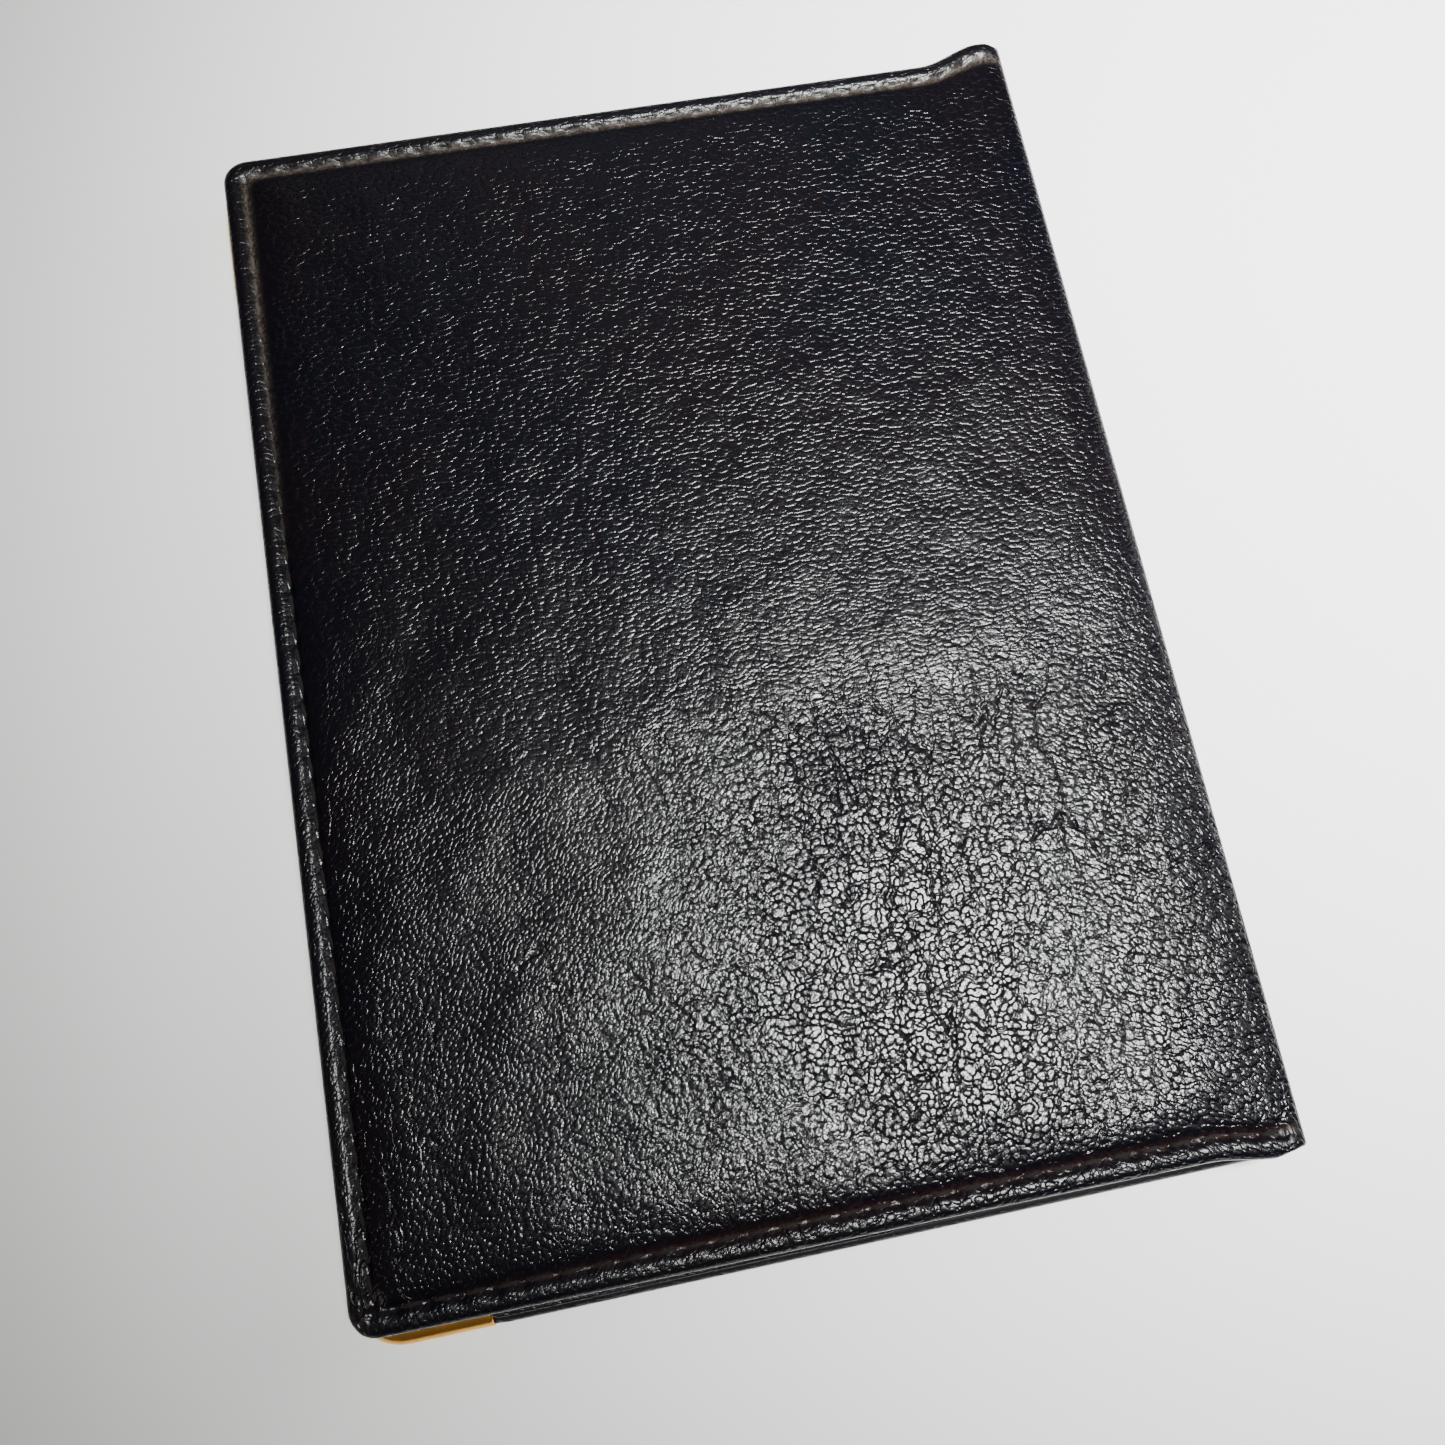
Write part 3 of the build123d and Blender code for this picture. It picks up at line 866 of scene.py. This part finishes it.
def gusset(node, along):
    """A pocket's gusset, running along u (0) or v (1): a thin strip folded in two, with its fold
    towards the cards and a slight wave in it."""
    low, high = front.extent(node)
    r = (high[2] - low[2]) / 4
    across = 1 - along
    outer, inner = low[across], high[across]
    if along == 0 and outer + inner > front.v_low + front.v_high:
        outer, inner = inner, outer
    inwards = 1 if inner > outer else -1
    width = abs(inner - outer) - 2 * r
    gap = 0.25 * r
    angles = np.linspace(-math.pi / 2, math.pi / 2, 9)
    outside = [(width + 2 * r * math.cos(a), 2 * r * math.sin(a)) for a in angles]
    inside = [(width + gap * math.cos(a), gap * math.sin(a)) for a in angles[::-1]]
    profile = np.array([(0, -2 * r), *outside, (0, 2 * r), (0, gap), *inside, (0, -gap)])
    around = np.cumsum(np.linalg.norm(np.diff(profile, axis=0, prepend=profile[:1]), axis=1))
    run = np.linspace(low[along], high[along], 60)[:, None]
    sway = 0.12 * MM * np.sin(900 * run) + 0.08 * MM * np.sin(2300 * run + 1)
    reach = outer + inwards * (profile[:, 0] + sway * (profile[:, 0] > width * 0.5))
    run = run + 0 * reach
    u, v = (run, reach) if along == 0 else (reach, run)
    points = front.place(u, v, (low[2] + high[2]) / 2 + profile[:, 1])
    hide = np.stack(np.broadcast_arrays(around, run), axis=-1)
    faces = tube_faces(*reach.shape)
    strip = add_mesh(f"{node}_strip", points.reshape(-1, 3), faces, hide=hide.reshape(-1, 2))
    dress(strip, POCKET, "pocket_leather", node)
    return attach(strip, front.body)


notch = (NOTCH_DEPTH, NOTCH_WIDTH)
pocket(front, "front_pocket", notch, corner_power=1, corner=METAL_LEG - 0.5 * MM)
pocket(back, "back_pocket")
pocket(back, "back_card_slot")
lining(front, "front_lining", corner_power=1, corner=METAL_LEG - 2 * MM)
lining(back, "back_lining")
rounded_board(front, "front_board", FRONT_CORNER_R - 0.8 * MM)
gusset("front_gusset_head", 0)
gusset("front_gusset_tail", 0)
gusset("front_gusset_fore_edge", 1)


def spine_cloth():
    """The lining strip inside the spine."""
    low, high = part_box("spine_lining")
    half = (high.x - low.x) / 2
    rise = np.linspace(low.z + half, high.z - half, 14)
    run = np.linspace(low.y + half, high.y - half, 150)
    z, y = np.meshgrid(rise, run, indexing="ij")
    x = low.x + 0.03 * MM * ripples(y, z * 3, 9 * MM, 41) ** 2 * 0.4
    points = np.stack([x, y, z], axis=-1)
    flat = np.stack([z, y], axis=-1)
    cloth = closed_sheet("spine_lining_cloth", points, flat, half + 0 * z, (-1, 0, 0), rings=3)
    dress(cloth, LINING, "lining", "spine_lining")
    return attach(cloth, "spine")


spine_cloth()


# ---------------------------------------------------------------- threads


def stitch(middle, along, up, length, radius):
    """Points of one stitch: a short two-ply thread that dips into its needle holes."""
    across = np.cross(up, along)
    s = np.linspace(-1, 1, STITCH_RINGS)[:, None, None]
    a = 2 * math.pi * np.arange(STITCH_SIDES)[:, None] / STITCH_SIDES
    centre = middle + along * (s * length / 2) - up * (radius * 1.5 * abs(s) ** 3)
    r = radius * (1 - 0.55 * abs(s) ** 4) * (1 + 0.16 * np.cos(2 * (a - 2.6 * s)))
    return (centre + across * (r * np.cos(a)) + up * (r * np.sin(a))).reshape(-1, 3)


def thread(name, node, cover, rows):
    """All stitches of one seam. rows holds, for each stitch, its middle, direction and up."""
    one = tube_faces(STITCH_RINGS, STITCH_SIDES)
    size = STITCH_RINGS * STITCH_SIDES
    verts, faces, dust = [], [], []
    for k, (middle, along, up) in enumerate(rows):
        lean = random.normal(0, 0.05) + 0.07
        turned = unit(along * math.cos(lean) + np.cross(up, along) * math.sin(lean))
        length = 1.85 * MM + random.normal(0, 0.05) * MM
        verts.append(stitch(middle, turned, up, length, 0.17 * MM))
        faces += [[k * size + n for n in face] for face in one]
        dust += [float(dustiness(middle[1]))] * size
    piece = add_mesh(name, np.concatenate(verts), faces, {"dust": dust})
    dress(piece, THREAD, "seam_thread", node)
    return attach(piece, cover.body)


def stitch_places(cover):
    """u and v of every seam stitch on a cover, and 0 where it runs along u or 1 along v."""
    start = METAL_LEG + 2 * MM if cover is front else SEAM + PITCH / 2
    first = math.ceil((cover.u_edge + start) / PITCH)
    places = []
    for k in range(first, int(-1.6 * MM / PITCH)):
        for v in (cover.v_low + SEAM, cover.v_high - SEAM):
            places.append((k * PITCH, v, 0))
    low = math.ceil((cover.v_low + start) / PITCH)
    high = math.floor((cover.v_high - start) / PITCH)
    for k in range(low, high + 1):
        places.append((cover.u_edge + SEAM, k * PITCH, 1))
    return places


def outer_row(cover):
    """The seam's stitches on the outer face."""
    up = np.array([0, 0, float(cover.out)])
    found = []
    for u, v, along_v in stitch_places(cover):
        du, dv = (0, 0.3 * MM) if along_v else (0.3 * MM, 0)
        middle = cover.surface(np.array(u), np.array(v))
        ahead = cover.surface(np.array(u + du), np.array(v + dv))
        behind = cover.surface(np.array(u - du), np.array(v - dv))
        found.append((middle, unit(ahead - behind), up))
    return found


def inner_row(cover, layers):
    """The seam's stitches inside, on layers given as (lowest u that still shows, node on top)."""
    up = np.array([0, 0, -float(cover.out)])
    c, s = math.cos(cover.turn), math.sin(cover.turn)
    found = []
    for u, v, along_v in stitch_places(cover):
        top = next(node for limit, node in layers if u < limit)
        w = cover.extent(top)[0][2]
        middle = cover.place(np.array(u), np.array(v), np.array(w + 0.02 * MM))
        along = np.array([-s, c, 0]) if along_v else np.array([c, s, 0])
        found.append((middle, along, up))
    return found


def mouth_row(cover, node, gap):
    """The stitches along a pocket's mouth, on both sides of a gap in its middle."""
    low, high = cover.extent(node)
    up = np.array([0, 0, -float(cover.out)])
    along = np.array([-math.sin(cover.turn), math.cos(cover.turn), 0])
    middle_v = (low[1] + high[1]) / 2
    half = (high[1] - low[1]) / 2 - 2.8 * MM
    found = []
    for k in range(int(gap / 2 / PITCH), int(half / PITCH)):
        for side in (1, -1):
            v = middle_v + side * (k + 0.5) * PITCH
            found.append((cover.place(high[0] - MOUTH_SEAM, v, low[2] + 0.03 * MM), along, up))
    return found


def panel_limits(cover, *nodes):
    """Where each panel ends, from the uppermost one, and the lining beyond them."""
    limits = [(cover.extent(node)[1][0] - 0.5 * MM, node) for node in nodes]
    return limits + [(1.0, f"{cover.name}_lining")]


def seam_rows(cover, *nodes):
    """The stitches of a cover's seam: those outside, then those inside on these panels."""
    return outer_row(cover) + inner_row(cover, panel_limits(cover, *nodes))


front_seam = seam_rows(front, "front_pocket")
back_seam = seam_rows(back, "back_card_slot", "back_pocket")
thread("front_seam_stitches", "front_seam_thread", front, front_seam)
thread("back_seam_stitches", "back_seam_thread", back, back_seam)
for cover, node, gap in (
    (front, "front_pocket", NOTCH_WIDTH), (back, "back_pocket", 0), (back, "back_card_slot", 0)
):
    thread(f"{node}_stitches", f"{node}_thread", cover, mouth_row(cover, node, gap))


# ---------------------------------------------------------------- metal corners


def metal_corner(node, side):
    """A plate folded round the cover's corner, half-round at the edge, open on the diagonal. side
    is 1 at the head and -1 at the tail."""
    w_out = front.w_hem + METAL
    w_in = front.extent(node)[0][2]
    r = (w_out - w_in) / 2
    corner_v = front.v_high if side > 0 else front.v_low

    # The edge's two legs as p and q, measured from the middle of its roll, and the diagonal
    leg = METAL_LEG - r
    leaving = np.linspace(0, leg, 26)[1:]
    p = np.concatenate([leaving[::-1], [0], 0 * leaving])
    q = p[::-1]
    edge = np.stack(cut_corners(p, q, 0, 0, 1.0, FRONT_CORNER_R - r, 2), axis=-1)
    diagonal = np.stack([np.linspace(leg, 0, len(p)), np.linspace(0, leg, len(p))], axis=-1)
    run = unit(np.gradient(edge, axis=0))
    outward = facing(np.stack([run[:, 1], -run[:, 0]], axis=-1), 0, (0, -1))

    # Rows of points from the diagonal over the outer plate, round the edge and back inside
    share = np.linspace(0, 1, 9)
    height = r - BEAD * bell(share, 0.09)
    angle = np.linspace(0, math.pi, 13)[1:-1]
    shares = np.concatenate([share, 1 + 0 * angle, share[::-1]])[:, None, None]
    reach = np.concatenate([0 * share, r * np.sin(angle), 0 * share])[:, None, None]
    w = np.concatenate([height, r * np.cos(angle), -height[::-1]])[:, None]
    flat = diagonal + (edge - diagonal) * shares + outward * reach
    u = front.u_edge + r + flat[..., 0]
    v = corner_v - side * (r + flat[..., 1])
    points = front.place(u, v, (w_out + w_in) / 2 + w)
    numbers = np.arange(u.size).reshape(u.shape)
    piece = add_mesh(f"{node}_plate", points.reshape(-1, 3), grid_faces(numbers))
    shell = piece.modifiers.new("thickness", "SOLIDIFY")
    shell.thickness = 0.24 * MM
    shell.offset = -1
    shell.use_even_offset = True
    bpy.context.view_layer.update()
    shaped = piece.evaluated_get(bpy.context.evaluated_depsgraph_get())
    solid = bpy.data.meshes.new_from_object(shaped)
    piece.modifiers.clear()
    piece.data = solid
    solid.polygons.foreach_set("use_smooth", [True] * len(solid.polygons))
    dress(piece, GOLD, "gold_corner", node)
    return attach(piece, front.body)


metal_corner("metal_corner_head", 1)
metal_corner("metal_corner_tail", -1)


# ---------------------------------------------------------------- nodes shown as they are

for node, material in (
    ("front_infill", BOARD), ("back_board", BOARD), ("back_infill", BOARD), ("spine_tape", TAPE)
):
    materials = frame["nodes"][node].data.materials
    materials.clear()
    materials.append(material)


# ---------------------------------------------------------------- floor, light and camera


def floor():
    """A sheet of paper that goes on beyond the view, just under the case."""
    side = 3.0
    z = -0.02 * MM
    mesh = bpy.data.meshes.new("floor")
    corners = [(-side, -side, z), (side, -side, z), (side, side, z), (-side, side, z)]
    mesh.from_pydata(corners, [], [(0, 1, 2, 3)])
    mesh.materials.append(PAPER)
    sheet = bpy.data.objects.new("floor", mesh)
    bpy.context.scene.collection.objects.link(sheet)


def add_light(name, kind, place, aim, size, power, color, cone=None):
    """A disk-shaped area light, or a large soft spot whose cone, in degrees, fades to its rim."""
    data = bpy.data.lights.new(name, kind)
    data.energy = power
    data.color = color
    if kind == "SPOT":
        data.shadow_soft_size = size / 2
        data.spot_size = math.radians(cone)
        data.spot_blend = 1.0
    else:
        data.shape = "DISK"
        data.size = size
    lamp = bpy.data.objects.new(name, data)
    bpy.context.scene.collection.objects.link(lamp)
    lamp.location = place
    lamp.rotation_mode = "QUATERNION"
    lamp.rotation_quaternion = (Vector(aim) - Vector(place)).to_track_quat("-Z", "Y")


floor()
add_light(
    "key", "SPOT", place=(0.135, -0.01, 0.6), aim=(0.09, 0.03, 0), size=0.13, power=80.0,
    color=(0.98, 1.0, 0.975), cone=32,
)
add_light(
    "top", "AREA", place=(0.02, 0.8, 0.7), aim=(0, 0, 0), size=0.5, power=0.3,
    color=(0.95, 0.98, 1.0),
)
add_light(
    "right", "AREA", place=(0.9, 0.2, 0.5), aim=(0, 0, 0), size=0.5, power=2.5,
    color=(0.97, 1.0, 0.98),
)
add_light(
    "left", "AREA", place=(-0.8, -0.5, 0.45), aim=(0, 0, 0), size=0.5, power=1.2,
    color=(1.0, 0.9, 0.82),
)

world = bpy.data.worlds.new("room")
bpy.context.scene.world = world
world.use_nodes = True
background = world.node_tree.nodes["Background"]
background.inputs["Color"].default_value = (1.0, 0.93, 0.88, 1)
background.inputs["Strength"].default_value = 0.12

camera_data = bpy.data.cameras.new("camera")
camera_data.sensor_width = 36
camera_data.lens = CAMERA_LENS
camera_data.shift_x = CAMERA_SHIFT
camera_data.clip_start = 0.005
camera_data.clip_end = 20
camera = bpy.data.objects.new("camera", camera_data)
bpy.context.scene.collection.objects.link(camera)
camera.location = CAMERA_PLACE
camera.rotation_euler = Euler([math.radians(a) for a in CAMERA_TURN])
bpy.context.scene.camera = camera
